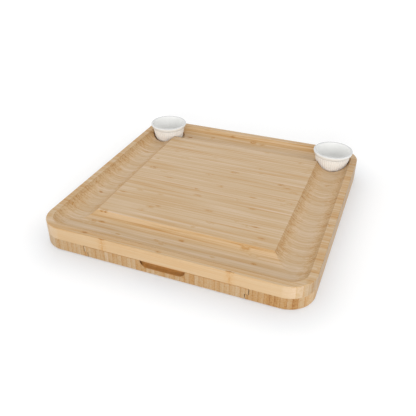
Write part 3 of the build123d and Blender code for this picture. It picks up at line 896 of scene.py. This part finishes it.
def silicone_material(finish):
    """Moulded silicone rubber: dull grey, with the fine grain of a spark-eroded mould and a little dust."""
    material, tree, shader = new_material("moulded_silicone")
    local, _ = place_in_mm(tree)
    grain = add(tree, "ShaderNodeTexNoise", {"Vector": local, "Scale": MM / finish.grain_size, "Detail": 2.0})
    dust = add(tree, "ShaderNodeTexNoise", {"Vector": local, "Scale": MM / finish.dust_size, "Detail": 3.0})
    colour = add(tree, "ShaderNodeMix", {0: dust, 1: finish.silicone, 2: finish.silicone_dusty},
                 data_type="RGBA")
    rough = uneven_roughness(tree, grain, finish.silicone_roughness, finish.silicone_spread)
    bump = add(tree, "ShaderNodeBump", {"Height": grain, "Distance": finish.grain_depth})
    connect(tree, shader, colour=colour, roughness=rough, normal=bump)
    shader.inputs["IOR"].default_value = SILICONE_IOR
    return material


class SERVINGBOARD_OT_feet(bpy.types.Operator):
    """Finishes the four silicone feet"""

    bl_idname = "servingboard.feet"
    bl_label = "Finish the feet"

    def execute(self, context):
        material = silicone_material(context.scene.hardware_finish)
        for end in ("front", "rear"):
            for side in ("left", "right"):
                dress(f"foot_{end}_{side}", material)
        return {"FINISHED"}


def seen_directly(tree):
    """1 for rays from the camera and for rays seen in gloss or through glass, else 0."""
    path = add(tree, "ShaderNodeLightPath")
    gloss = add(tree, "ShaderNodeMath", {0: path.outputs["Is Camera Ray"], 1: path.outputs["Is Glossy Ray"]},
                operation="MAXIMUM")
    return add(tree, "ShaderNodeMath", {0: gloss, 1: path.outputs["Is Transmission Ray"]},
               operation="MAXIMUM")


def way_from_board(tree, inset):
    """Distance in metres from the core of the board's footprint, which is narrower by inset at the sides.

    The core is the footprint less its corner radius all round, so the board's own edge is at CORNER_RADIUS.
    """
    place = add(tree, "ShaderNodeTexCoord")
    half = BOARD_HIGH.x - CORNER_RADIUS
    beside = add(tree, "ShaderNodeVectorMath", {0: place.outputs["Object"]}, operation="ABSOLUTE")
    out = add(tree, "ShaderNodeVectorMath", {0: beside, 1: (half - inset, half, 0.0)}, operation="SUBTRACT")
    out = add(tree, "ShaderNodeVectorMath", {0: out, 1: (0.0, 0.0, 0.0)}, operation="MAXIMUM")
    return add(tree, "ShaderNodeVectorMath", {0: out}, operation="LENGTH").outputs["Value"]


def light_table_material(studio):
    """Matt white acrylic, lit from below.

    It takes the shadow. A glow that lights nothing lifts it to white for the camera, gloss and glass.
    Beside the board the glow is weaker and bluer: a painted shadow round the board. From below the sheet is
    clear.
    """
    material = bpy.data.materials.new("white_light_table")
    material.use_nodes = True
    tree = material.node_tree
    tree.nodes.clear()
    from_board = way_from_board(tree, 0.0)
    # painted shadow: near the board the glow fades to the dimmer tint
    away = add(tree, "ShaderNodeMapRange", {"Value": way_from_board(tree, studio.painted_shadow_narrowing),
               "From Min": CORNER_RADIUS, "From Max": CORNER_RADIUS + studio.painted_shadow_width},
               interpolation_type="SMOOTHSTEP")
    glow = add(tree, "ShaderNodeMix", {0: away, 1: studio.painted_shadow_glow, 2: studio.glow}, data_type="RGBA")
    far = add(tree, "ShaderNodeMapRange", {"Value": from_board, "From Min": studio.white_from,
              "From Max": 2.0 * studio.white_from})
    glow = add(tree, "ShaderNodeMix", {0: far, 1: glow, 2: WHITE}, data_type="RGBA")
    lift = add(tree, "ShaderNodeEmission", {"Color": glow, "Strength": seen_directly(tree)})
    sheet = add(tree, "ShaderNodeBsdfDiffuse", {"Color": studio.floor})
    top = add(tree, "ShaderNodeAddShader", {0: sheet, 1: lift})

    # the sheet lets light pass to the board's underside, so that it isn't black in a view from below
    path = add(tree, "ShaderNodeLightPath")
    near = add(tree, "ShaderNodeMath", {0: path.outputs["Ray Length"], 1: UNDERSIDE_LIGHT},
               operation="LESS_THAN")
    under = add(tree, "ShaderNodeMath", {0: from_board, 1: CORNER_RADIUS}, operation="LESS_THAN")
    under = add(tree, "ShaderNodeMath", {0: near, 1: under}, operation="MULTIPLY")
    unseen = add(tree, "ShaderNodeMath", {0: 1.0, 1: path.outputs["Is Camera Ray"]}, operation="SUBTRACT")
    under = add(tree, "ShaderNodeMath", {0: unseen, 1: under}, operation="MULTIPLY")
    side = add(tree, "ShaderNodeNewGeometry")
    clear = add(tree, "ShaderNodeMath", {0: side.outputs["Backfacing"], 1: under}, operation="MAXIMUM")
    both = add(tree, "ShaderNodeMixShader", {0: clear, 1: top, 2: add(tree, "ShaderNodeBsdfTransparent")})
    add(tree, "ShaderNodeOutputMaterial", {"Surface": both})
    return material


def direction(azimuth, elevation):
    """The way out from the board; azimuth 0 is the front and grows towards the right, both in degrees."""
    turn, rise = math.radians(azimuth), math.radians(elevation)
    return Vector((math.sin(turn) * math.cos(rise), -math.cos(turn) * math.cos(rise), math.sin(rise)))


def area_lamp(name, out, size, watts):
    """A square soft lamp that hangs that way out from the board and shines at it."""
    lamp = bpy.data.lights.new(name, "AREA")
    lamp.shape = "SQUARE"
    lamp.size = size
    lamp.energy = watts
    holder = bpy.data.objects.new(name, lamp)
    holder.location = LAMP_DISTANCE * out
    holder.rotation_euler = (-out).to_track_quat("-Z", "Y").to_euler()
    holder.visible_glossy = False
    bpy.context.scene.collection.objects.link(holder)


def studio_floor(studio):
    """A square sheet at the height of the feet."""
    half = 0.5 * studio.floor_size
    corners = [(-half, -half, 0), (half, -half, 0), (half, half, 0), (-half, half, 0)]
    mesh = bpy.data.meshes.new("studio_floor")
    mesh.from_pydata(corners, [], [(0, 1, 2, 3)])
    mesh.materials.append(light_table_material(studio))
    floor = bpy.data.objects.new("studio_floor", mesh)
    bpy.context.scene.collection.objects.link(floor)


def studio_sky(studio):
    """Even light from all round, in front of a white backdrop that lights nothing."""
    world = bpy.data.worlds.new("white_studio")
    world.use_nodes = True
    tree = world.node_tree
    tree.nodes.clear()
    light = add(tree, "ShaderNodeBackground", {"Color": WHITE, "Strength": studio.sky})
    backdrop = add(tree, "ShaderNodeBackground", {"Color": WHITE, "Strength": 1.0})
    both = add(tree, "ShaderNodeMixShader", {0: seen_directly(tree), 1: light, 2: backdrop})
    add(tree, "ShaderNodeOutputWorld", {"Surface": both})
    bpy.context.scene.world = world


def studio_camera(studio):
    """The camera, at the photograph's angle."""
    camera = bpy.data.cameras.new("camera")
    camera.lens = studio.lens
    camera.sensor_width = studio.sensor
    holder = bpy.data.objects.new("camera", camera)
    back = direction(math.degrees(studio.azimuth), math.degrees(studio.elevation))
    holder.location = Vector(studio.target) + studio.distance * back
    holder.rotation_euler = (-back).to_track_quat("-Z", "Y").to_euler()
    bpy.context.scene.collection.objects.link(holder)
    bpy.context.scene.camera = holder


class SERVINGBOARD_OT_studio(bpy.types.Operator):
    """Lays the floor, hangs the lamps and sets the camera"""

    bl_idname = "servingboard.studio"
    bl_label = "Set up the studio"

    def execute(self, context):
        studio = context.scene.studio_settings
        studio_floor(studio)
        studio_sky(studio)
        for name, setting, azimuth, elevation, size in LAMPS:
            area_lamp(name, direction(azimuth, elevation), size, getattr(studio, setting))
        studio_camera(studio)
        context.scene.view_settings.view_transform = "Standard"
        return {"FINISHED"}


OPERATORS = (
    SERVINGBOARD_OT_top_slab,
    SERVINGBOARD_OT_base_rails,
    SERVINGBOARD_OT_drawer_trays,
    SERVINGBOARD_OT_dip_bowls,
    SERVINGBOARD_OT_magnets,
    SERVINGBOARD_OT_feet,
    SERVINGBOARD_OT_studio,
)

SETTINGS = {
    "bamboo_finish": BambooFinish,
    "bowl_finish": BowlFinish,
    "hardware_finish": HardwareFinish,
    "studio_settings": StudioSettings,
}


class SERVINGBOARD_PT_panel(bpy.types.Panel):
    """Sidebar panel with the steps and their settings"""

    bl_label = "Serving board"
    bl_space_type = "VIEW_3D"
    bl_region_type = "UI"
    bl_category = "Serving board"

    def draw(self, context):
        for operator in OPERATORS:
            self.layout.operator(operator.bl_idname)
        for group in SETTINGS:
            box = self.layout.box()
            settings = getattr(context.scene, group)
            for field in settings.__annotations__:
                box.prop(settings, field)


def register():
    """Registers the settings, the steps and the panel."""
    for group, kind in SETTINGS.items():
        bpy.utils.register_class(kind)
        setattr(bpy.types.Scene, group, PointerProperty(type=kind))
    for kind in OPERATORS + (SERVINGBOARD_PT_panel,):
        bpy.utils.register_class(kind)


def unregister():
    """Removes what register added."""
    for kind in reversed(OPERATORS + (SERVINGBOARD_PT_panel,)):
        bpy.utils.unregister_class(kind)
    for group, kind in SETTINGS.items():
        delattr(bpy.types.Scene, group)
        bpy.utils.unregister_class(kind)


def main():
    """Runs every step."""
    register()
    bpy.ops.servingboard.top_slab()
    bpy.ops.servingboard.base_rails()
    bpy.ops.servingboard.drawer_trays()
    bpy.ops.servingboard.dip_bowls()
    bpy.ops.servingboard.magnets()
    bpy.ops.servingboard.feet()
    bpy.ops.servingboard.studio()


if __name__ == "__main__":
    main()
